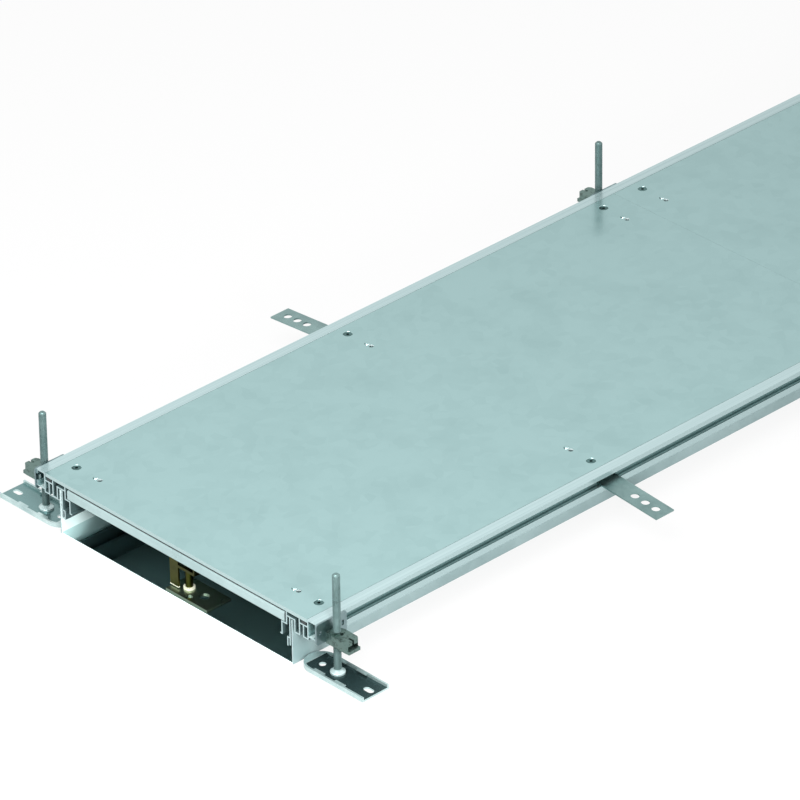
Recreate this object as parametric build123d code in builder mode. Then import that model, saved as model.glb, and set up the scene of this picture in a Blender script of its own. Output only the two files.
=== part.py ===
from build123d import *
import os

os.makedirs("parts", exist_ok=True)

# Frame: X runs across the duct, Y along it, Z up, in millimetres.
# The origin is on the floor, under the middle of the unit.

# Whole unit
unit_length = 2400.0
unit_width = 406.0
unit_height = 61.0
cover_count = 3

# Cover plates
cover_thickness = 4.0
cover_joint = 0.2
cover_side_play = 0.4
screw_end_distance = 29.0
screw_inset = 27.0
screw_head_diameter = 9.6
screw_shank_diameter = 4.8
screw_hole_diameter = 5.6
screw_length = 17.0
screw_socket = 3.2
screw_sink = 0.4
mark_inset = 58.7
mark_diameter = 5.6
mark_spread = 3.2
mark_depth = 1.4
mark_rise = 0.8
mark_taper = 45.0

# Side profile, one aluminium extrusion on each side
wall = 1.6
strip_width = 12.6
outer_lip_height = 5.6
slot_opening = 7.3
lower_lip_height = 6.9
seal_height = 3.8
chamber_depth = 15.2
chamber_width = 7.9
trough_play = 0.1
tray_gap_outside = 2.45
tray_gap_inside = 1.6
guide_leg_length = 33.2
guide_hook_width = 3.4
guide_hook_height = 10.2
step_offset = 4.6
ledge_width = 6.7
ledge_lip_length = 14.0
ledge_lip_foot = 2.0
seal_width = 6.0

# Tray
tray_sheet = 1.5
tray_top_play = 0.6
tray_hole_diameter = 7.0
tray_hole_height = 18.0
tray_hole_inset = 14.0

# Crossbars
crossbar_height = 11.0
crossbar_rise = 1.6
crossbar_bend = 2.5
crossbar_sheet = 2.0
crossbar_bearing = 2.7
crossbar_hole_diameter = 9.0
crossbar_face_hole = 3.0
crossbar_face_hole_x = -8.0
crossbar_seal_width = 8.0
crossbar_seal_inset = 1.0

# Levelling units
row_inset = 18.5
spindle_offset = 9.5
spindle_diameter = 8.0
spindle_top = 114.5
spindle_tip = 1.6
spindle_play = 0.05
disc_diameter = 15.4
disc_thickness = 2.4
disc_cone = 1.6
plate_length = 40.0
plate_height = 23.5
plate_thickness = 2.0
plate_corner = 3.0
plate_hole = (2.6, 5.6)
plate_hole_spread = 14.8
block_length = 30.0
block_width = 18.0
block_height = 12.5
block_drop = 12.5
block_corner = 5.0
slab_length = 26.0
slab_height = 4.5
slab_overhang = 1.2
collar_diameter = 14.0
collar_height = 1.0
clamp_slot = 2.4
clamp_slot_length = 6.0
shelf_reach = 2.0
shelf_width = 15.0
shelf_height = 3.6
pocket_depth = 6.0
pocket_width = 13.0
top_hole_diameter = 3.6
top_hole_reach = 6.6

# Foot plates
foot_width = 35.0
foot_reach = 52.8
foot_sheet = 2.0
foot_flange = 5.0
foot_nose_radius = 17.0
foot_nose_reach = 40.0
foot_step_reach = 31.0
foot_step_run = 4.5
foot_tab_length = 14.0
foot_tab_width = 4.5
foot_tab_pitch = 29.0
foot_tab_centre = 3.8
foot_hole_diameter = 7.0
foot_hole_reach = 21.5
foot_slot_length = 12.0
foot_slot_width = 6.6
foot_slot_reach = 43.3

# Screed anchors
anchor_reach = 76.5
anchor_width = 25.0
anchor_thickness = 1.6
anchor_tilt = 4.6
anchor_hole_diameter = 9.2
anchor_hole_pitch = 14.5
anchor_hole_first = 13.0
anchor_hook_height = 5.0
anchor_slot_play = 0.1

# Centre supports
support_lug_bottom = 28.0
support_lug_thickness = 3.0
support_lug_length = 36.0
support_lug_width = 18.0
support_leg_width = 12.0
support_leg_end = 3.0
support_sheet = 2.0
support_rod_play = 1.1
support_disc_diameter = 12.0
support_base_length = 60.0
support_base_width = 32.0
support_base_start = -17.0
support_base_sheet = 1.6
support_hole_small = 7.0
support_hole_small_place = (12.0, -11.0)
support_hole_large = 11.0
support_hole_large_place = (22.0, 0.0)

# Values worked out from the driving dimensions
half_width = unit_width / 2
cover_half = half_width - strip_width
cover_pitch = unit_length / cover_count
cover_length = cover_pitch - cover_joint
cover_bottom = unit_height - cover_thickness
deck_top = cover_bottom - seal_height
support_rod_top = cover_bottom - support_rod_play
deck_mid = deck_top - wall / 2
crossbar_top = deck_top + crossbar_rise
ledge_top = crossbar_top - crossbar_height
ledge_mid = ledge_top - wall / 2
riser_x = cover_half + wall / 2
trough_x = half_width - screw_inset
trough_half = screw_shank_diameter / 2 + trough_play / 2 + wall / 2
chamber_bottom = deck_top - chamber_depth + wall / 2
chamber_x = riser_x - chamber_width + wall
outer_lip_bottom = unit_height - outer_lip_height
lower_lip_top = outer_lip_bottom - slot_opening
slot_floor_mid = lower_lip_top - lower_lip_height + wall / 2
tray_half = trough_x - trough_half - wall / 2 - tray_gap_outside
guide_x = tray_half - tray_sheet - tray_gap_inside - wall / 2
guide_bottom = deck_top - guide_leg_length
step_x = guide_x - step_offset
ledge_x = step_x - ledge_width
crossbar_half = ledge_x - wall / 2 + crossbar_bearing + wall
crossbar_depth = 2 * row_inset
tray_wall_top = deck_top - wall - tray_top_play
spindle_x = half_width + spindle_offset
row_y = [side * (unit_length / 2 - row_inset) for side in (-1, 1)]
row_y += [cover_pitch * (n + 1) - unit_length / 2 for n in range(cover_count - 1)]
row_y.sort()
cover_y = [cover_pitch * (n + 0.5) - unit_length / 2 for n in range(cover_count)]
mark_x = half_width - mark_inset
screw_y = cover_length / 2 - screw_end_distance
head_height = (screw_head_diameter - screw_shank_diameter) / 2
sides = {"left": -1, "right": 1}


def finish(piece, name):
    """Label a finished piece and write it to its own file."""
    piece.part.label = name
    export_step(piece.part, f"parts/{name}.step")


def web(side, *points):
    """A wall of the extrusion along a centre line; its ends stand half a wall past the points."""
    with BuildSketch() as strip:
        with BuildLine():
            Polyline(*[(side * x, z) for x, z in points])
            offset(amount=wall / 2, side=Side.BOTH, kind=Kind.INTERSECTION)
        make_face()
    return strip.sketch


def foot_pocket(side, y, foot_end, nose_x):
    """The hollow inside a foot plate's lip: open at the outer end, rounded at the nose."""
    with BuildSketch() as pocket:
        with Locations((side * (foot_end + nose_x + foot_sheet) / 2, y)):
            Rectangle(foot_end - nose_x - foot_sheet, foot_width - 2 * foot_sheet)
        fillet(pocket.vertices().sort_by_distance((side * nose_x, y))[:2], radius=foot_nose_radius - foot_sheet)
    return pocket.sketch


# Base tray: one folded sheet that stands on the floor, open at both ends
with BuildPart() as base_tray:
    with BuildSketch(Plane.XZ):
        with BuildLine():
            Polyline(
                (-tray_half + tray_sheet / 2, tray_wall_top - tray_sheet / 2),
                (-tray_half + tray_sheet / 2, tray_sheet / 2),
                (tray_half - tray_sheet / 2, tray_sheet / 2),
                (tray_half - tray_sheet / 2, tray_wall_top - tray_sheet / 2),
            )
            offset(amount=tray_sheet / 2, side=Side.BOTH, kind=Kind.INTERSECTION)
        make_face()
    extrude(amount=unit_length / 2, both=True)
    hole_y = unit_length / 2 - tray_hole_inset
    for y in (-hole_y, hole_y):
        with Locations(Plane.YZ.move(Location((0, y, tray_hole_height)))):
            Hole(radius=tray_hole_diameter / 2)
finish(base_tray, "base_tray")

# Side profiles: strip beside the cover, outward slot, chamber, screw trough,
# guide leg inside the tray wall, and the ledge that carries the crossbars
for side_name, side in sides.items():
    lip_x = half_width - wall / 2
    rest_top = cover_bottom - wall / 2
    hook_top = guide_bottom + guide_hook_height - wall
    with BuildPart() as side_profile:
        with BuildSketch(Plane.XZ):
            add(web(
                side,
                (lip_x, outer_lip_bottom + wall / 2),
                (lip_x, unit_height - wall / 2),
                (riser_x, unit_height - wall / 2),
                (riser_x, chamber_bottom),
                (chamber_x, chamber_bottom),
                (chamber_x, deck_mid),
            ))
            add(web(side, (riser_x, slot_floor_mid), (lip_x, slot_floor_mid), (lip_x, lower_lip_top - wall / 2)))
            add(web(side, (riser_x, deck_mid), (trough_x + trough_half, deck_mid)))
            add(web(
                side,
                (trough_x + trough_half, rest_top),
                (trough_x + trough_half, chamber_bottom),
                (trough_x - trough_half, chamber_bottom),
                (trough_x - trough_half, deck_mid),
                (step_x, deck_mid),
            ))
            add(web(
                side,
                (step_x, rest_top),
                (step_x, ledge_mid),
                (ledge_x, ledge_mid),
                (ledge_x, ledge_mid - ledge_lip_length),
                (ledge_x - ledge_lip_foot, ledge_mid - ledge_lip_length),
            ))
            add(web(side, (guide_x, deck_mid), (guide_x, guide_bottom + wall / 2)))
            add(web(
                side,
                (guide_x, hook_top),
                (guide_x - guide_hook_width, hook_top),
                (guide_x - guide_hook_width, guide_bottom - wall / 2),
            ))
        extrude(amount=unit_length / 2, both=True)
    finish(side_profile, f"side_profile_{side_name}")

# Cover plates: galvanised plate with countersunk screw holes, and beside each
# a pressed mark, a pit and a pip side by side
for number, y in enumerate(cover_y, 1):
    with BuildPart() as cover_plate:
        with BuildSketch(Plane.XY.offset(cover_bottom)):
            with Locations((0, y)):
                Rectangle(2 * (cover_half - cover_side_play), cover_length)
        extrude(amount=cover_thickness)
        top = Plane.XY.offset(unit_height)
        with Locations((0, y, unit_height)):
            with GridLocations(2 * trough_x, screw_y, 2, 3):
                CounterSinkHole(screw_hole_diameter / 2, screw_head_diameter / 2 + screw_sink)
        with BuildSketch(top):
            with Locations((mark_spread, y)):
                with GridLocations(2 * mark_x, screw_y, 2, 3):
                    Circle(mark_diameter / 2)
        extrude(amount=-mark_depth, mode=Mode.SUBTRACT)
        with BuildSketch(top):
            with Locations((-mark_spread, y)):
                with GridLocations(2 * mark_x, screw_y, 2, 3):
                    Circle(mark_diameter / 2)
        extrude(amount=mark_rise, taper=mark_taper)
    finish(cover_plate, f"cover_plate_{number}")

    with BuildPart() as cover_screws:
        with Locations((0, y, unit_height - screw_sink)):
            with GridLocations(2 * trough_x, screw_y, 2, 3):
                with Locations((0, 0, -head_height / 2)):
                    Cone(screw_shank_diameter / 2, screw_head_diameter / 2, head_height)
                with Locations((0, 0, -head_height)):
                    Cylinder(
                        screw_shank_diameter / 2,
                        screw_length - head_height,
                        align=(Align.CENTER, Align.CENTER, Align.MAX),
                    )
        with BuildSketch(Plane.XY.offset(unit_height - screw_sink)):
            with Locations((0, y)):
                with GridLocations(2 * trough_x, screw_y, 2, 3):
                    RegularPolygon(screw_socket / 2, 6, major_radius=False)
        extrude(amount=-head_height, mode=Mode.SUBTRACT)
    finish(cover_screws, f"cover_screws_{number}")

# Seals: rubber strips under the cover edges and on the crossbars
with BuildPart() as cover_seals:
    seal_x = (trough_x + trough_half + wall / 2 + cover_half) / 2
    with BuildSketch(Plane.XY.offset(deck_top)):
        with Locations((-seal_x, 0), (seal_x, 0)):
            Rectangle(seal_width, unit_length)
    extrude(amount=seal_height)
    strip_y = crossbar_depth / 2 - crossbar_seal_inset - crossbar_seal_width / 2
    with BuildSketch(Plane.XY.offset(crossbar_top)):
        with Locations([(0, y + s * strip_y) for y in row_y for s in (-1, 1)]):
            Rectangle(2 * (crossbar_half - crossbar_bearing), crossbar_seal_width)
    extrude(amount=cover_bottom - crossbar_top)
finish(cover_seals, "cover_seals")

# Crossbars: inverted channels that tie the two profiles and carry the cover ends
web_y = (crossbar_depth - crossbar_sheet) / 2
for number, y in enumerate(row_y, 1):
    with BuildPart() as crossbar:
        with BuildSketch(Plane.YZ):
            with BuildLine():
                FilletPolyline(
                    (y - web_y, ledge_top + crossbar_sheet / 2),
                    (y - web_y, crossbar_top - crossbar_sheet / 2),
                    (y + web_y, crossbar_top - crossbar_sheet / 2),
                    (y + web_y, ledge_top + crossbar_sheet / 2),
                    radius=crossbar_bend - crossbar_sheet / 2,
                )
                offset(amount=crossbar_sheet / 2, side=Side.BOTH, kind=Kind.INTERSECTION)
            make_face()
        extrude(amount=crossbar_half, both=True)
        with Locations((0, y, crossbar_top)):
            Hole(radius=crossbar_hole_diameter / 2)
        with Locations(Plane.XZ.move(Location((crossbar_face_hole_x, y, ledge_top + crossbar_height / 2)))):
            Hole(radius=crossbar_face_hole / 2)
    finish(crossbar, f"crossbar_{number}")

# Levelling units: foot plate, spindle, die-cast block and bracket plate,
# one of each per side and row
for side_name, side in sides.items():
    for number, y in enumerate(row_y, 1):
        tag = f"{side_name}_{number}"
        foot_end = spindle_x + foot_reach
        nose_x = spindle_x - foot_nose_reach
        foot_step_x = spindle_x - foot_step_reach
        with BuildPart() as foot_plate:
            with BuildSketch() as outline:
                with Locations((side * (foot_end + nose_x) / 2, y)):
                    Rectangle(foot_end - nose_x, foot_width)
                nose = outline.vertices().sort_by_distance((side * nose_x, y))[:2]
                fillet(nose, radius=foot_nose_radius)
            extrude(amount=foot_flange)
            with BuildSketch(Plane.XY.offset(foot_sheet)):
                add(foot_pocket(side, y, foot_end, nose_x))
                with Locations((side * (nose_x + foot_step_x) / 2, y)):
                    Rectangle(foot_step_x - nose_x, foot_width, mode=Mode.SUBTRACT)
            extrude(amount=foot_flange - foot_sheet, mode=Mode.SUBTRACT)
            with BuildSketch():
                add(foot_pocket(side, y, foot_end, nose_x))
                with Locations((side * (foot_end + foot_step_x - foot_sheet) / 2, y)):
                    Rectangle(foot_end - foot_step_x + foot_sheet, foot_width, mode=Mode.SUBTRACT)
            extrude(amount=foot_flange - foot_sheet, mode=Mode.SUBTRACT)
            with BuildSketch(Plane.XZ.offset(-y)):
                with BuildLine():
                    Polyline(
                        (side * foot_step_x, foot_flange),
                        (side * (foot_step_x + foot_step_run), foot_sheet),
                        (side * foot_step_x, foot_sheet),
                        close=True,
                    )
                make_face()
            extrude(amount=foot_nose_radius - foot_sheet, both=True)
            with BuildSketch(Plane.XY.offset(foot_flange)):
                tab_y = (foot_width - foot_tab_width) / 2
                with Locations((side * (spindle_x + foot_tab_centre), y)):
                    with GridLocations(foot_tab_pitch, 2 * tab_y, 2, 2):
                        Rectangle(foot_tab_length, foot_tab_width)
            extrude(amount=-foot_sheet / 2)
            with Locations((side * (spindle_x - foot_hole_reach), y, 0)):
                Hole(radius=foot_hole_diameter / 2)
            with BuildSketch():
                with Locations((side * (spindle_x + foot_slot_reach), y)):
                    SlotOverall(foot_slot_length, foot_slot_width)
            extrude(amount=foot_sheet, mode=Mode.SUBTRACT)
        finish(foot_plate, f"foot_plate_{tag}")

        with BuildPart() as spindle:
            with BuildSketch(Plane.XZ.offset(-y)):
                with BuildLine():
                    Polyline(
                        (side * spindle_x, foot_sheet),
                        (side * (spindle_x + disc_diameter / 2), foot_sheet),
                        (side * (spindle_x + disc_diameter / 2), foot_sheet + disc_thickness),
                        (side * (spindle_x + spindle_diameter / 2), foot_sheet + disc_thickness + disc_cone),
                        (side * (spindle_x + spindle_diameter / 2), spindle_top - spindle_tip),
                        (side * (spindle_x + spindle_diameter / 2 - spindle_tip), spindle_top),
                        (side * spindle_x, spindle_top),
                        close=True,
                    )
                make_face()
            revolve(axis=Axis((side * spindle_x, y, 0), (0, 0, 1)))
        finish(spindle, f"spindle_{tag}")

        plate_out = half_width + plate_thickness
        plate_mid = unit_height - plate_height / 2
        with BuildPart() as bracket_plate:
            with BuildSketch(Plane.YZ.offset(side * half_width)):
                with Locations((y, plate_mid)):
                    RectangleRounded(plate_length, plate_height, plate_corner)
                    with GridLocations(2 * plate_hole_spread, 0, 2, 1):
                        Rectangle(*plate_hole, mode=Mode.SUBTRACT)
            extrude(amount=side * plate_thickness)
        finish(bracket_plate, f"bracket_plate_{tag}")

        block_top = unit_height - block_drop
        block_end = plate_out + block_length
        body_width = block_width - 2 * slab_overhang
        with BuildPart() as levelling_block:
            with BuildSketch(Plane.XY.offset(block_top - block_height)):
                with Locations((side * (plate_out + block_length / 2), y)):
                    RectangleRounded(block_length, body_width, block_corner / 2)
                with Locations((side * (plate_out + block_corner), y)):
                    Rectangle(2 * block_corner, body_width)
            extrude(amount=block_height)
            with BuildSketch(Plane.XY.offset(block_top - slab_height)):
                with Locations((side * (block_end - slab_length / 2), y)):
                    RectangleRounded(slab_length, block_width, block_corner)
            extrude(amount=slab_height)
            pocket_top = block_top - slab_height
            pocket_bottom = block_top - block_height + shelf_height
            with Locations((side * block_end, y, (pocket_top + pocket_bottom) / 2)):
                Box(2 * pocket_depth, pocket_width, pocket_top - pocket_bottom, mode=Mode.SUBTRACT)
            with Locations((side * block_end, y, block_top - block_height + shelf_height / 2)):
                Box(2 * shelf_reach, shelf_width, shelf_height)
            with BuildSketch(Plane.XY.offset(block_top)):
                with Locations((side * spindle_x, y)):
                    Circle(collar_diameter / 2)
            extrude(amount=collar_height)
            with Locations((side * spindle_x, y, block_top)):
                Hole(radius=spindle_diameter / 2 + spindle_play)
            with BuildSketch(Plane.XY.offset(block_top)):
                with Locations((side * (block_end - clamp_slot_length / 2), y)):
                    Rectangle(clamp_slot_length, clamp_slot)
            extrude(amount=-slab_height, mode=Mode.SUBTRACT)
            with BuildSketch(Plane.XY.offset(block_top + collar_height)):
                with Locations((side * (spindle_x + top_hole_reach), y)):
                    Circle(top_hole_diameter / 2)
            extrude(amount=-collar_height - slab_height, mode=Mode.SUBTRACT)
        finish(levelling_block, f"levelling_block_{tag}")

# Screed anchors: perforated strips hooked into the outward slot
slot_wall_x = riser_x + wall / 2
for side_name, side in sides.items():
    for number, y in enumerate(cover_y, 1):
        with BuildPart() as screed_anchor:
            tilt = Plane(
                origin=(side * half_width, y, lower_lip_top + anchor_slot_play),
                x_dir=Vector(side, 0, 0).rotate(Axis.Y, side * anchor_tilt),
                z_dir=Vector(0, 0, 1).rotate(Axis.Y, side * anchor_tilt),
            )
            inner = slot_wall_x + wall - half_width
            with BuildSketch(tilt):
                with Locations(((anchor_reach + inner) / 2, 0)):
                    Rectangle(anchor_reach - inner, anchor_width)
                holes = [anchor_reach - anchor_hole_first - n * anchor_hole_pitch for n in range(3)]
                with Locations([(x, 0) for x in holes]):
                    Circle(anchor_hole_diameter / 2, mode=Mode.SUBTRACT)
            extrude(amount=anchor_thickness)
            with BuildSketch(tilt):
                with Locations((inner + anchor_thickness / 2, 0)):
                    Rectangle(anchor_thickness, anchor_width)
            extrude(amount=anchor_hook_height)
        finish(screed_anchor, f"screed_anchor_{side_name}_{number}")

# Centre supports: a bracket under each crossbar and a levelling screw on the tray floor
for number, y in enumerate(row_y, 1):
    facing = 1 if y < 0 else -1
    with BuildPart() as support_bracket:
        lug_front = y - facing * support_lug_width / 2
        with BuildSketch(Plane.XY.offset(support_lug_bottom)):
            with Locations((0, y)):
                Rectangle(support_lug_length, support_lug_width)
                Circle(spindle_diameter / 2 + spindle_play, mode=Mode.SUBTRACT)
        extrude(amount=support_lug_thickness)
        with BuildSketch(Plane.XZ.offset(-lug_front)):
            leg_x = -facing * (support_lug_length - support_leg_width) / 2
            with Locations((leg_x, (ledge_top + tray_sheet + support_leg_end) / 2)):
                Rectangle(support_leg_width, ledge_top - tray_sheet - support_leg_end)
        extrude(amount=-facing * support_sheet)
        with BuildSketch(Plane.YZ.offset(facing * support_lug_length / 2)):
            with Locations((y, (support_lug_bottom + crossbar_top - crossbar_sheet) / 2)):
                Rectangle(support_lug_width, crossbar_top - crossbar_sheet - support_lug_bottom)
        extrude(amount=-facing * support_sheet)
    finish(support_bracket, f"support_bracket_{number}")

    base_top = tray_sheet + support_base_sheet
    with BuildPart() as support_post:
        with BuildSketch(Plane.XY.offset(tray_sheet)):
            with Locations((facing * (support_base_start + support_base_length / 2), y)):
                Rectangle(support_base_length, support_base_width)
            for (hole_x, hole_y), diameter in (
                (support_hole_small_place, support_hole_small),
                (support_hole_large_place, support_hole_large),
            ):
                with Locations((facing * hole_x, y + facing * hole_y)):
                    Circle(diameter / 2, mode=Mode.SUBTRACT)
        extrude(amount=support_base_sheet)
        with Locations((0, y, base_top)):
            Cylinder(
                support_disc_diameter / 2,
                disc_thickness,
                align=(Align.CENTER, Align.CENTER, Align.MIN),
            )
            Cylinder(
                spindle_diameter / 2,
                support_rod_top - base_top,
                align=(Align.CENTER, Align.CENTER, Align.MIN),
            )
    finish(support_post, f"support_post_{number}")
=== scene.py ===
import math

import bmesh
import bpy
import numpy as np
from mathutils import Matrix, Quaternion, Vector


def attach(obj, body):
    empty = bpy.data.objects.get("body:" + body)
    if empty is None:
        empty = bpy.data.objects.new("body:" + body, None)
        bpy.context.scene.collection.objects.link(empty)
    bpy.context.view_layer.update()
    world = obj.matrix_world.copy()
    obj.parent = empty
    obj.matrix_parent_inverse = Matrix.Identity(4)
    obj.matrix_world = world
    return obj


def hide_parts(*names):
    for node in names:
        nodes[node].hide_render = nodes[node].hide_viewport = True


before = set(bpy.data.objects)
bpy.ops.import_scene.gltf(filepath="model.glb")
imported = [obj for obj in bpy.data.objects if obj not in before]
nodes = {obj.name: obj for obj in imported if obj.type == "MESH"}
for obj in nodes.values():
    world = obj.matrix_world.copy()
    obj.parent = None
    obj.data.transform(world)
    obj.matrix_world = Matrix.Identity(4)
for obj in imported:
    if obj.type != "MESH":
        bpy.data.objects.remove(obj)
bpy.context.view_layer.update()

# Base tray. One folded sheet of hot-dip galvanised steel, 1.5 mm thick, open
# at both ends, that stands on the raw floor and takes the cables.
MM = 0.001

# How far a face's normal reaches along an axis, for a face that points that way
# or across it.
ALONG = (0.5, 1.1)
ACROSS = (-0.5, 0.5)


def linear(colour):
    """sRGB hex to linear RGBA: each channel through the sRGB curve, a line near black and a power above."""
    channels = [int(colour[i : i + 2], 16) / 255 for i in (1, 3, 5)]
    return [c / 12.92 if c < 0.04045 else ((c + 0.055) / 1.055) ** 2.4 for c in channels] + [1.0]


def mm(*values):
    """Millimetres to metres."""
    return tuple(value * MM for value in values)


def node(material, kind, settings=None, inputs=None):
    """Adds a node; settings are its properties, and inputs its values or linked sockets."""
    made = material.node_tree.nodes.new(kind)
    for key, value in (settings or {}).items():
        setattr(made, key, value)
    for key, value in (inputs or {}).items():
        if isinstance(value, bpy.types.NodeSocket):
            material.node_tree.links.new(value, made.inputs[key])
        else:
            made.inputs[key].default_value = value
    return made


def new_material(name, metallic, roughness):
    """An empty material with one Principled shader, and the texture coordinates to read."""
    material = bpy.data.materials.new(name)
    material.use_nodes = True
    material.node_tree.nodes.clear()
    shader = node(material, "ShaderNodeBsdfPrincipled", None, {"Metallic": metallic, "Roughness": roughness})
    node(material, "ShaderNodeOutputMaterial", None, {"Surface": shader.outputs["BSDF"]})
    return material, shader, node(material, "ShaderNodeTexCoord").outputs


def shade(material, shader, pattern, low, high, dark, light):
    """Stretches a pattern from low..high to 0..1, and mixes the base colour from dark to light by it."""
    stretched = node(
        material, "ShaderNodeMapRange", None, {"Value": pattern, "From Min": low, "From Max": high}
    ).outputs["Result"]
    colours = {"Factor": stretched, 6: linear(dark), 7: linear(light)}
    mixed = node(material, "ShaderNodeMix", {"data_type": "RGBA"}, colours)
    material.node_tree.links.new(mixed.outputs[2], shader.inputs["Base Color"])
    return stretched


def zinc(
    name, dark, light, roughness, crystal=14.0, cloud=120.0, crystal_share=0.1, metallic=1.0, spread=0.15
):
    """A zinc coat: its crystals, each of its own shade, under broad clouds where the zinc ran.

    The shade is cloud noise plus a share of each crystal's random number, and mixes the
    dark and light colours. The roughness rises with it, from a share below its value to
    as much above. The sizes are in mm. Plated and cast zinc have crystals too fine to
    show, and theirs are drawn coarser, as a mottling.
    """
    material, shader, place = new_material(name, metallic, roughness)
    cloud_inputs = {"Vector": place["Object"], "Scale": 1 / (cloud * MM), "Detail": 4.0}
    clouds = node(material, "ShaderNodeTexNoise", None, cloud_inputs)
    crystal_inputs = {"Vector": place["Object"], "Scale": 1 / (crystal * MM)}
    crystals = node(material, "ShaderNodeTexVoronoi", None, crystal_inputs)
    number = node(material, "ShaderNodeSeparateColor", None, {"Color": crystals.outputs["Color"]})
    terms = {0: number.outputs["Red"], 1: crystal_share, 2: clouds.outputs["Fac"]}
    summed = node(material, "ShaderNodeMath", {"operation": "MULTIPLY_ADD"}, terms)
    factor = shade(material, shader, summed.outputs["Value"], 0.3, 0.75, dark, light)
    rough_inputs = {"Value": factor, "To Min": roughness * (1 - spread), "To Max": roughness * (1 + spread)}
    rough = node(material, "ShaderNodeMapRange", None, rough_inputs)
    material.node_tree.links.new(rough.outputs["Result"], shader.inputs["Roughness"])
    return material, shader, place


def zone(material, *limits):
    """A mask that is 1 where every limit holds, as the product of one mask for each.

    A limit is another mask, or (vector, axis, low, high), which holds where that axis
    of the vector is between the two values. The axis of a plain value is None.
    """
    mask = 1.0
    for limit in limits:
        if isinstance(limit, tuple):
            value, axis, low, high = limit
            if axis:
                value = node(material, "ShaderNodeSeparateXYZ", None, {"Vector": value}).outputs[axis]
            between = {0: value, 1: (low + high) / 2, 2: (high - low) / 2}
            limit = node(material, "ShaderNodeMath", {"operation": "COMPARE"}, between).outputs["Value"]
        factors = {0: mask, 1: limit}
        mask = node(material, "ShaderNodeMath", {"operation": "MULTIPLY"}, factors).outputs["Value"]
    return mask


def tint(material, shader, mask, colour):
    """Lays a colour over what the shader's base colour reads, where the mask is 1."""
    under = shader.inputs["Base Color"].links[0].from_socket
    colours = {"Factor": mask, 6: under, 7: linear(colour)}
    mixed = node(material, "ShaderNodeMix", {"data_type": "RGBA"}, colours)
    material.node_tree.links.new(mixed.outputs[2], shader.inputs["Base Color"])


def vary(material, shader, socket, mask, outside, inside):
    """Gives a socket of the shader one value or socket where the mask is 0, and another where it is 1."""
    value = node(material, "ShaderNodeMapRange", None, {"Value": mask, "To Min": outside, "To Max": inside})
    material.node_tree.links.new(value.outputs["Result"], shader.inputs[socket])
    return value.outputs["Result"]


def dress(prefix, material):
    """Gives a material to every CAD node whose name starts with the prefix."""
    for name, thing in nodes.items():
        if name.startswith(prefix):
            thing.data.materials.clear()
            thing.data.materials.append(material)


# Hot-dip galvanised sheet: the bottom is a dark mirror of the closed duct, and
# the walls scatter the light, with a painted light that makes the inside palest.
# These are tints by place.
tray_metal, tray_shader, tray_place = zinc("hot_dip_galvanised_tray_sheet", "#869fa0", "#a0b7b8", 0.3)
tray_inner_half = 168.2
bottom = zone(tray_metal, (tray_place["Normal"], "Z", *ALONG))
inner_wall_painted_light = zone(
    tray_metal,
    (tray_place["Object"], "X", *mm(-tray_inner_half, tray_inner_half)),
    (tray_place["Normal"], "Z", *ACROSS),
)
# Painted light: the inside of the walls is tinted pale.
tint(tray_metal, tray_shader, inner_wall_painted_light, "#e8fdfc")
tint(tray_metal, tray_shader, bottom, "#c6d8d8")
wall_metallic = vary(tray_metal, tray_shader, "Metallic", inner_wall_painted_light, 0.3, 0.05)
vary(tray_metal, tray_shader, "Metallic", bottom, wall_metallic, 1.0)
vary(tray_metal, tray_shader, "Roughness", bottom, 0.34, 0.05)
dress("base_tray", tray_metal)

# Side profiles. Mill-finish aluminium extrusions that carry the covers and
# the crossbars, with the outward slot for brackets and anchors.


def extruded(name, dark, light, roughness, line=1.2, changes=1.5):
    """Extruded aluminium: noise drawn out along Y, as the die leaves its lines.

    The lines are so many mm across, coarser than real ones, which are too fine to
    show, and change so many times in a metre of length.
    """
    material, shader, place = new_material(name, 0.5, roughness)
    stretch = {"Vector": place["Object"], "Scale": (1 / (line * MM), changes, 1 / (line * MM))}
    drawn = node(material, "ShaderNodeMapping", None, stretch).outputs["Vector"]
    lines = node(material, "ShaderNodeTexNoise", None, {"Vector": drawn, "Scale": 1.0, "Detail": 3.0})
    shade(material, shader, lines.outputs["Fac"], 0.3, 0.7, dark, light)
    return material, shader, place


# Extruded aluminium as it leaves the die: a soft shine with fine lengthwise
# lines. Tints by place lay painted shade on the inside, on the outer side face
# and in the slot, and painted light on the slot's ledge.
profile_metal, profile_shader, profile_place = extruded(
    "mill_finish_extruded_aluminium", "#9bb2b4", "#aec4c5", 0.25
)
profile_reach = node(
    profile_metal, "ShaderNodeVectorMath", {"operation": "ABSOLUTE"}, {0: profile_place["Object"]}
).outputs["Vector"]
profile_skin = 202.8
not_cut = (profile_place["Normal"], "Y", *ACROSS)
inside_painted_shade = zone(
    profile_metal,
    (profile_reach, "X", *mm(100.0, profile_skin)),
    (profile_place["Object"], "Z", *mm(0.0, 60.5)),
    not_cut,
)
# Painted shade: the inside of the section is tinted dark.
tint(profile_metal, profile_shader, inside_painted_shade, "#5b7273")
outer_side_painted_shade = zone(
    profile_metal,
    (profile_reach, "X", *mm(profile_skin, 203.5)),
    (profile_place["Normal"], "Z", *ACROSS),
    not_cut,
)
# Painted shade: the outer side face is tinted darker than the rest.
tint(profile_metal, profile_shader, outer_side_painted_shade, "#98aeaf")
in_slot = zone(
    profile_metal,
    (profile_reach, "X", *mm(190.0, 201.6)),
    (profile_place["Object"], "Z", *mm(42.5, 56.0)),
)
# Painted shade: the inside of the slot is tinted dark.
tint(profile_metal, profile_shader, zone(profile_metal, in_slot, not_cut), "#82a3a3")
slot_ledge_painted_light = zone(
    profile_metal,
    in_slot,
    (profile_reach, "X", *mm(193.5, 198.5)),
    (profile_place["Normal"], "Z", *ALONG),
)
# Painted light: the slot's ledge is tinted pale.
tint(profile_metal, profile_shader, slot_ledge_painted_light, "#d8efee")
dress("side_profile", profile_metal)
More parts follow.
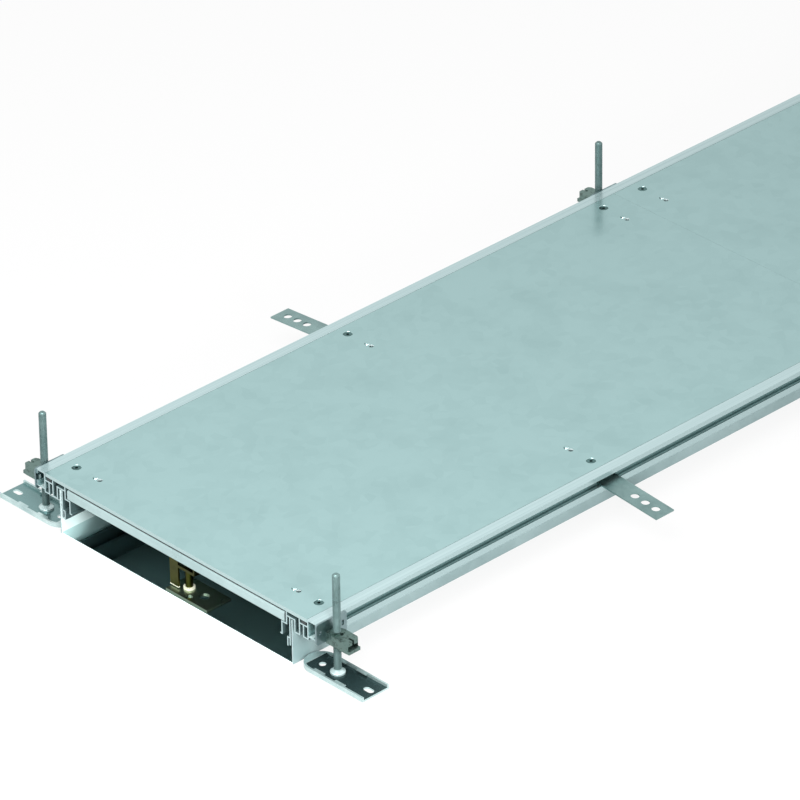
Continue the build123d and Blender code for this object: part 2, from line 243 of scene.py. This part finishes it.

# Cover plates. Hot-dip galvanised steel plates, 4 mm thick, countersunk for
# six screws each, with a pressed pit and pip beside every screw.

# Hot-dip galvanised plate: an even green-grey sheen with faint clouds. The pits,
# pips and countersinks carry painted shade and painted highlights, laid by height
# and by the way their slopes face.
cover_metal, cover_shader, cover_place = zinc(
    "hot_dip_galvanised_cover_plate",
    "#89a8a8",
    "#90afaf",
    0.2,
    crystal=12.0,
    cloud=60.0,
    crystal_share=0.25,
    metallic=0.55,
)
cover_top = 61.0
cover_thickness = 4.0
plate_length = 800.0
front_end = -1200.0
end_margin = 5.0
mark_strip = (136.0, 153.0)
AGAINST = (-1.1, -0.5)
sunk_painted_shade = zone(
    cover_metal,
    (cover_place["Object"], "Z", *mm(50.0, cover_top - 0.3)),
    (cover_place["Normal"], "Z", 0.3, 1.1),
)
# Painted shade: the sunk floors of the countersinks and pits are tinted dark.
tint(cover_metal, cover_shader, sunk_painted_shade, "#2c4041")
to_near = {0: cover_place["Normal"], 1: (0.57, -0.82, 0.0)}
nearward = node(cover_metal, "ShaderNodeVectorMath", {"operation": "DOT_PRODUCT"}, to_near).outputs["Value"]
to_left = {0: cover_place["Normal"], 1: (-0.68, -0.73, 0.0)}
leftward = node(cover_metal, "ShaderNodeVectorMath", {"operation": "DOT_PRODUCT"}, to_left).outputs["Value"]
sloped = zone(cover_metal, (cover_place["Normal"], "Z", 0.12, 0.97))
faces_near = (nearward, None, 0.2, 1.1)
faces_far = (nearward, None, -1.1, -0.1)
faces_left = (leftward, None, 0.25, 1.1)
# Painted light: the slopes that face the near side are tinted pale.
tint(cover_metal, cover_shader, zone(cover_metal, sloped, faces_near), "#9ab6b6")
painted_pip = zone(cover_metal, sloped, (cover_place["Object"], "Z", *mm(cover_top + 0.05, cover_top + 2.0)))
# Painted highlight: the raised pips are tinted nearly white.
tint(cover_metal, cover_shader, painted_pip, "#d4eaea")
# Painted shade: the pips' left-facing slopes are tinted dark.
tint(cover_metal, cover_shader, zone(cover_metal, painted_pip, faces_left), "#3f5859")
# Painted shade: the slopes that face away are tinted dark.
tint(cover_metal, cover_shader, zone(cover_metal, sloped, faces_far), "#2c4041")
cover_edge = zone(
    cover_metal,
    (cover_place["Normal"], "Z", -0.1, 0.1),
    (cover_place["Object"], "Z", *mm(cover_top - cover_thickness, cover_top + 0.1)),
)
tint(cover_metal, cover_shader, cover_edge, "#a5bcbc")
cover_reach = node(
    cover_metal, "ShaderNodeVectorMath", {"operation": "ABSOLUTE"}, {0: cover_place["Object"]}
).outputs["Vector"]
cover_y = node(cover_metal, "ShaderNodeSeparateXYZ", None, {"Vector": cover_place["Object"]}).outputs["Y"]
from_front = node(
    cover_metal, "ShaderNodeMath", {"operation": "ADD"}, {0: cover_y, 1: -front_end * MM}
).outputs["Value"]
from_end = node(
    cover_metal, "ShaderNodeMath", {"operation": "PINGPONG"}, {0: from_front, 1: plate_length / 2 * MM}
).outputs["Value"]
pit_wall_painted_light = zone(
    cover_metal,
    cover_edge,
    faces_near,
    (cover_reach, "X", *mm(*mark_strip)),
    (from_end, None, *mm(end_margin, plate_length)),
)
# Painted light: the pits' walls that face the near side are tinted white.
tint(cover_metal, cover_shader, pit_wall_painted_light, "#f2ffff")
underside = zone(cover_metal, (cover_place["Normal"], "Z", *AGAINST))
tint(cover_metal, cover_shader, underside, "#8aa4a4")
vary(cover_metal, cover_shader, "Metallic", underside, 0.55, 0.1)
dress("cover_plate", cover_metal)

# Cover screws. Countersunk steel screws with a hexagon socket, six to a
# plate, turned down into the trough of the side profile.

# Screw steel: dark, as a painted shade of the sockets and countersinks, with a
# dull shine on the cone.
screw_metal = zinc("dark_screw_steel_painted_shade", "#35504f", "#5f8382", 0.25, crystal=3.0, cloud=10.0)[0]
dress("cover_screws", screw_metal)

# Seals. Black rubber strips, laid under the cover edges on the profiles and
# on the crossbars, and shown as the screwed-down covers compress them.

# Moulded rubber: near black and matt, with an unevenness of about 4 mm that
# stands for a grain too fine to show.
seal_rubber, seal_shader, seal_place = new_material("black_moulded_rubber", 0.0, 0.7)
seal_unevenness = 4.0
grain_inputs = {"Vector": seal_place["Object"], "Scale": 1 / (seal_unevenness * MM)}
seal_grain = node(seal_rubber, "ShaderNodeTexNoise", None, grain_inputs)
shade(seal_rubber, seal_shader, seal_grain.outputs["Fac"], 0.0, 1.0, "#242a2b", "#343c3d")
dress("cover_seals", seal_rubber)

# Crossbars. Channels folded from 2 mm galvanised sheet that tie the two
# profiles together and carry the ends of the covers.

# Galvanised sheet: bright grey with the zinc's small crystals, and a painted shade
# on the faces turned away from the open end and down.
crossbar_metal, crossbar_shader, crossbar_place = zinc(
    "galvanised_crossbar_sheet", "#9bb4b4", "#b2c9c9", 0.3, crystal=8.0, metallic=0.6
)
# Painted shade: faces turned away from the open end and down are tinted dark.
for axis, way in (("Y", ALONG), ("Z", AGAINST)):
    turned_away_painted_shade = zone(crossbar_metal, (crossbar_place["Normal"], axis, *way))
    tint(crossbar_metal, crossbar_shader, turned_away_painted_shade, "#566a6b")
dress("crossbar", crossbar_metal)

# Centre supports. A bracket under each crossbar stands on a levelling screw
# whose base plate lies on the tray floor.

# Yellow passivated zinc: dark olive, with paler tints by height on the base
# plate and the disc, as the picture shows them.
support_metal, support_shader, support_place = zinc(
    "yellow_passivated_zinc", "#303418", "#4d4f22", 0.3, crystal=4.0, cloud=30.0
)
base_plate_top = 3.2
disc_top = 5.6
base_layer = zone(support_metal, (support_place["Object"], "Z", *mm(0.0, base_plate_top)))
tint(support_metal, support_shader, base_layer, "#8f9c88")
disc_layer = zone(support_metal, (support_place["Object"], "Z", *mm(base_plate_top, disc_top)))
tint(support_metal, support_shader, disc_layer, "#fcfde6")
vary(support_metal, support_shader, "Metallic", disc_layer, 1.0, 0.2)
dress("support_", support_metal)

# Foot plates. Pressed from 2 mm sheet with an upturned lip, a rounded nose
# beside the tray, a round hole and a slot for the screws into the raw floor.


def plated_foot(side, web_painted_shade):
    """Zinc on a pressed plate: the flat web, below the lip's top, takes a darker colour as painted shade."""
    material, shader, place = zinc(
        f"bright_zinc_plated_foot_{side}", "#a5bebe", "#c8dddc", 0.24, crystal=6.0, cloud=30.0, metallic=0.7
    )
    below_lip = (place["Object"], "Z", *mm(0.0, 4.6))
    painted_shade_web = zone(material, below_lip, (place["Normal"], "Z", 0.3, 1.1))
    # Painted shade: the flat web is tinted dark.
    tint(material, shader, painted_shade_web, web_painted_shade)
    dress(f"foot_plate_{side}", material)


# Bright zinc plating: pale lips and tabs round a web darkened by painted shade.
# The painted shade on the web of the right side is much darker than on the left.
plated_foot("right", "#34494a")
plated_foot("left", "#6f9090")

# Levelling spindles. M8 screws of zinc-plated steel that turn in the blocks
# and stand on the foot plates, with a disc and a cone at the foot.


def wrapped_quads(columns, rows, climb):
    """Quads from each column to the next; the last column joins the first, climb rows higher."""
    i = np.arange(columns)[:, None]
    k = np.arange(rows - 1 - climb)[None, :]
    after = ((i + 1) % columns) * rows + np.where(i == columns - 1, climb, 0)
    return np.stack([i * rows + k, after + k, after + k + 1, i * rows + k + 1], axis=-1).reshape(-1, 4)


def threaded_screw(x, y, bottom, top, tip, radius=4.0, root=3.4, pitch=1.25, columns=16):
    """A screw thread: the radius goes crest, crest, root, root once a pitch, and each
    column starts a sixteenth of a pitch higher than the one before, so the ridge is a
    helix. Heights are clipped to the ends, where the tip narrows at 45 degrees."""
    rows = 4 * (int((top - bottom) / pitch) + 3) + 1
    turn = np.arange(columns)[:, None] / columns
    row = np.arange(rows)[None, :]
    z = np.clip(bottom + pitch * (row / 4 + turn - 1), bottom, top)
    r = np.where(row % 4 < 2, radius, root) + 0 * turn
    r = np.minimum(np.where(z <= bottom, root, r), radius - tip + (top - z))
    angle = 2 * np.pi * turn
    screw = np.stack([x + r * np.cos(angle), y + r * np.sin(angle), z], axis=-1).reshape(-1, 3)
    ends = [(np.arange(columns) * rows + rows - 5).tolist(), (np.arange(columns)[::-1] * rows).tolist()]
    return screw, wrapped_quads(columns, rows, 4).tolist() + ends


def turned_disc(x, y, profile, columns=32):
    """A lathe form: the profile's radius and height turned about the axis, closed at both poles."""
    r, z = np.array(profile).T[:, None, :]
    angle = (2 * np.pi * np.arange(columns) / columns)[:, None]
    points = np.stack([x + r * np.cos(angle), y + r * np.sin(angle), z + 0 * angle], axis=-1).reshape(-1, 3)
    return points, wrapped_quads(columns, len(profile), 0).tolist()


def joined_piece(name, parts, body, material, replaced):
    """Joins shells given in mm into one piece, merges its doubles and closes its seams."""
    points, faces, count = [], [], 0
    for shell_points, shell_faces in parts:
        points.append(shell_points)
        faces += [[index + count for index in face] for face in shell_faces]
        count += len(shell_points)
    mesh = bpy.data.meshes.new(name)
    mesh.from_pydata((np.concatenate(points) * MM).tolist(), [], faces)
    form = bmesh.new()
    form.from_mesh(mesh)
    bmesh.ops.remove_doubles(form, verts=form.verts, dist=0.01 * MM)
    bmesh.ops.dissolve_degenerate(form, edges=form.edges, dist=0.01 * MM)
    bmesh.ops.recalc_face_normals(form, faces=form.faces)
    form.to_mesh(mesh)
    form.free()
    mesh.materials.append(material)
    piece = bpy.data.objects.new(name, mesh)
    bpy.context.scene.collection.objects.link(piece)
    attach(piece, body)
    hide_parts(*replaced)
    return piece


# Zinc-plated screw steel: an even grey-green whose mirrored light is held dark,
# and a pale tint on the disc.
spindle_metal, spindle_shader, spindle_place = zinc(
    "zinc_plated_screw_steel", "#566e6d", "#748b8a", 0.28, crystal=3.0, cloud=20.0, metallic=0.5
)
spindle_shader.inputs["Specular Tint"].default_value = linear("#101818")
spindle_foot = zone(spindle_metal, (spindle_place["Object"], "Z", *mm(0.0, 7.0)))
tint(spindle_metal, spindle_shader, spindle_foot, "#c4d9d9")
spindle_x = 212.5
thread_bottom = 5.0
spindle_top = 114.5
spindle_tip = 1.6
row_y = (-1181.5, -400.0, 400.0, 1181.5)
disc_profile = ((0, 2), (7.4, 2), (7.7, 2.3), (7.7, 4.1), (7.4, 4.4), (4, 6), (0, 6))
for side_name, side in (("left", -1), ("right", 1)):
    for number, y in enumerate(row_y, 1):
        label = f"{side_name}_{number}"
        joined_piece(
            f"threaded_spindle_{label}",
            [
                threaded_screw(side * spindle_x, y, thread_bottom, spindle_top, spindle_tip),
                turned_disc(side * spindle_x, y, disc_profile),
            ],
            "base",
            spindle_metal,
            [f"spindle_{label}"],
        )

# Levelling blocks. Zinc die castings on the bracket plates, through which
# the spindles are screwed.

# Raw die casting: grey-green and mottled, with a dull skin.
block_metal = zinc(
    "raw_zinc_die_casting", "#33423e", "#6f8781", 0.4, crystal=2.2, cloud=5.0, crystal_share=0.7
)[0]
dress("levelling_block", block_metal)

# Bracket plates. Flat plates of 2 mm sheet that hold the blocks against the
# slot of the side profile.

# Dull zinc plating: dark blue-grey.
bracket_metal = zinc(
    "dull_zinc_plated_bracket_sheet", "#70878a", "#93a9ab", 0.35, crystal=4.0, cloud=12.0
)[0]
dress("bracket_plate", bracket_metal)

# Screed anchors. Perforated galvanised strips hooked into the slot, which
# the screed flows round and holds.

# Galvanised strip: dull grey-green, with small crystals.
anchor_metal = zinc("galvanised_anchor_strip", "#738f8e", "#90adab", 0.35, crystal=5.0, cloud=30.0)[0]
dress("screed_anchor", anchor_metal)

# Floor, light and camera. A plain pale floor in a white studio, and the
# camera at the photograph's angle.
white = (1, 1, 1, 1)
floor_half = 30.0
floor_mesh = bpy.data.meshes.new("floor")
floor_corners = [(-1, -1), (1, -1), (1, 1), (-1, 1)]
floor_mesh.from_pydata([(floor_half * x, floor_half * y, 0) for x, y in floor_corners], [], [(0, 1, 2, 3)])
floor = bpy.data.objects.new("floor", floor_mesh)
bpy.context.scene.collection.objects.link(floor)


def any_ray(material, *kinds):
    """A mask that is 1 on rays of the kinds named: the greatest of their Light Path values."""
    rays = node(material, "ShaderNodeLightPath").outputs
    mask = rays[kinds[0]]
    for kind in kinds[1:]:
        pair = {0: mask, 1: rays[kind]}
        mask = node(material, "ShaderNodeMath", {"operation": "MAXIMUM"}, pair).outputs["Value"]
    return mask


# Matt paint: pale grey where it lights the part, and nearly white where it is
# seen or mirrored, with the part's shadow left in the rest.
floor_paint, floor_shader = new_material("pale_matt_floor", 0.0, 0.9)[:2]
floor_shader.inputs["Base Color"].default_value = linear("#d9d9d9")
white_share = 0.88
floor_white = node(
    floor_paint,
    "ShaderNodeMath",
    {"operation": "MULTIPLY"},
    {0: any_ray(floor_paint, "Is Camera Ray", "Is Glossy Ray"), 1: white_share},
).outputs["Value"]
floor_glow = node(floor_paint, "ShaderNodeEmission", None, {"Color": white, "Strength": 1.0})
floor_mix = node(
    floor_paint,
    "ShaderNodeMixShader",
    None,
    {0: floor_white, 1: floor_shader.outputs["BSDF"], 2: floor_glow.outputs["Emission"]},
)
floor_output = floor_paint.node_tree.nodes["Material Output"]
floor_paint.node_tree.links.new(floor_mix.outputs["Shader"], floor_output.inputs["Surface"])
floor_mesh.materials.append(floor_paint)

world = bpy.data.worlds.new("studio")
bpy.context.scene.world = world
world.use_nodes = True
world.node_tree.nodes.clear()
soft_strength = 0.65
soft = node(world, "ShaderNodeBackground", None, {"Color": white, "Strength": soft_strength})
backdrop = node(world, "ShaderNodeBackground", None, {"Color": white, "Strength": 1.0})
seen = any_ray(world, "Is Camera Ray", "Is Glossy Ray", "Is Transmission Ray")
studio_light = node(
    world,
    "ShaderNodeMixShader",
    None,
    {0: seen, 1: soft.outputs["Background"], 2: backdrop.outputs["Background"]},
)
node(world, "ShaderNodeOutputWorld", None, {"Surface": studio_light.outputs["Shader"]})


def soft_box(name, aim, direction, distance, size, power):
    """A square area lamp that looks at a point from some way off in a direction."""
    aim = Vector(aim)
    lamp = bpy.data.lights.new(name, "AREA")
    lamp.size = size
    lamp.energy = power
    thing = bpy.data.objects.new(name, lamp)
    bpy.context.scene.collection.objects.link(thing)
    thing.location = aim + Vector(direction).normalized() * distance
    thing.rotation_mode = "QUATERNION"
    thing.rotation_quaternion = (aim - thing.location).to_track_quat("-Z", "Y")
    return thing


soft_box(
    "key_soft_box", aim=(0.0, -1.15, 0.03), direction=(0.45, -0.75, 1.5), distance=1.7, size=1.3, power=44.0
)
low_side = soft_box(
    "low_side_soft_box",
    aim=(-0.168, -1.18, 0.01),
    direction=(1.0, -0.3, 0.375),
    distance=2.2,
    size=0.4,
    power=32.0,
)
low_side.visible_glossy = False

camera_azimuth = math.radians(46.722)
camera_elevation = math.radians(30.917)
camera_roll = math.radians(0.876)
camera_distance = 7.3731
camera_aim = Vector((-0.0429, -0.8533, 0.061))
focal_pixels = 7315
picture_pixels = 800
camera_data = bpy.data.cameras.new("camera")
camera_data.sensor_width = 36.0
camera_data.lens = focal_pixels / picture_pixels * camera_data.sensor_width
camera_data.clip_end = 100.0
camera = bpy.data.objects.new("camera", camera_data)
bpy.context.scene.collection.objects.link(camera)
bpy.context.scene.camera = camera
backwards = Vector(
    (
        math.sin(camera_azimuth) * math.cos(camera_elevation),
        -math.cos(camera_azimuth) * math.cos(camera_elevation),
        math.sin(camera_elevation),
    )
)
camera.location = camera_aim + backwards * camera_distance
camera.rotation_mode = "QUATERNION"
camera.rotation_quaternion = (-backwards).to_track_quat("-Z", "Y") @ Quaternion((0, 0, 1), -camera_roll)
bpy.context.scene.view_settings.view_transform = "Standard"
